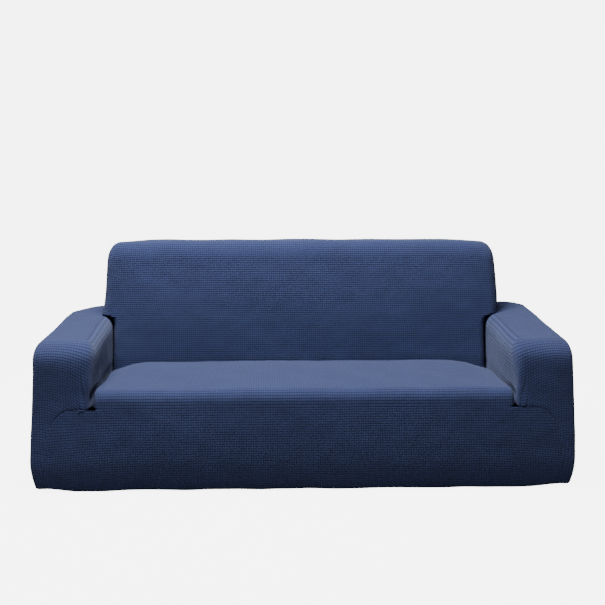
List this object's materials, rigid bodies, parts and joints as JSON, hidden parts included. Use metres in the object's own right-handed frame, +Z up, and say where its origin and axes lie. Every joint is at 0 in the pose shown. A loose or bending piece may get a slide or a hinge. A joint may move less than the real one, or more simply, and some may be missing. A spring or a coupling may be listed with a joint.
{
  "type": "sofa slipcover",
  "caption": "Navy stretch-knit slipcover for a two-seat sofa, fitted, with seat and skirt, inside back, outer back and two arm wraps",
  "frame": {"origin": "on the plane of the lowest hem, under the middle of the cover", "axes": "X along the sofa to its right as seen from the front, the front faces -Y, Z up"},
  "size_m": [1.78, 0.79, 0.748],
  "materials": {
    "knit_seat": "navy waffle stretch knit, matt, soft sheen on top faces",
    "knit_back": "navy waffle stretch knit, matt, soft sheen on top faces",
    "knit_arms": "navy waffle stretch knit, drawn tight, matt, soft sheen on top faces"
  },
  "bodies": {
    "root": {"seat_and_front": "knit_seat", "inside_back": "knit_back", "outer_back": "knit_back", "arm_left": "knit_arms", "arm_right": "knit_arms"}
  },
  "joints": []
}
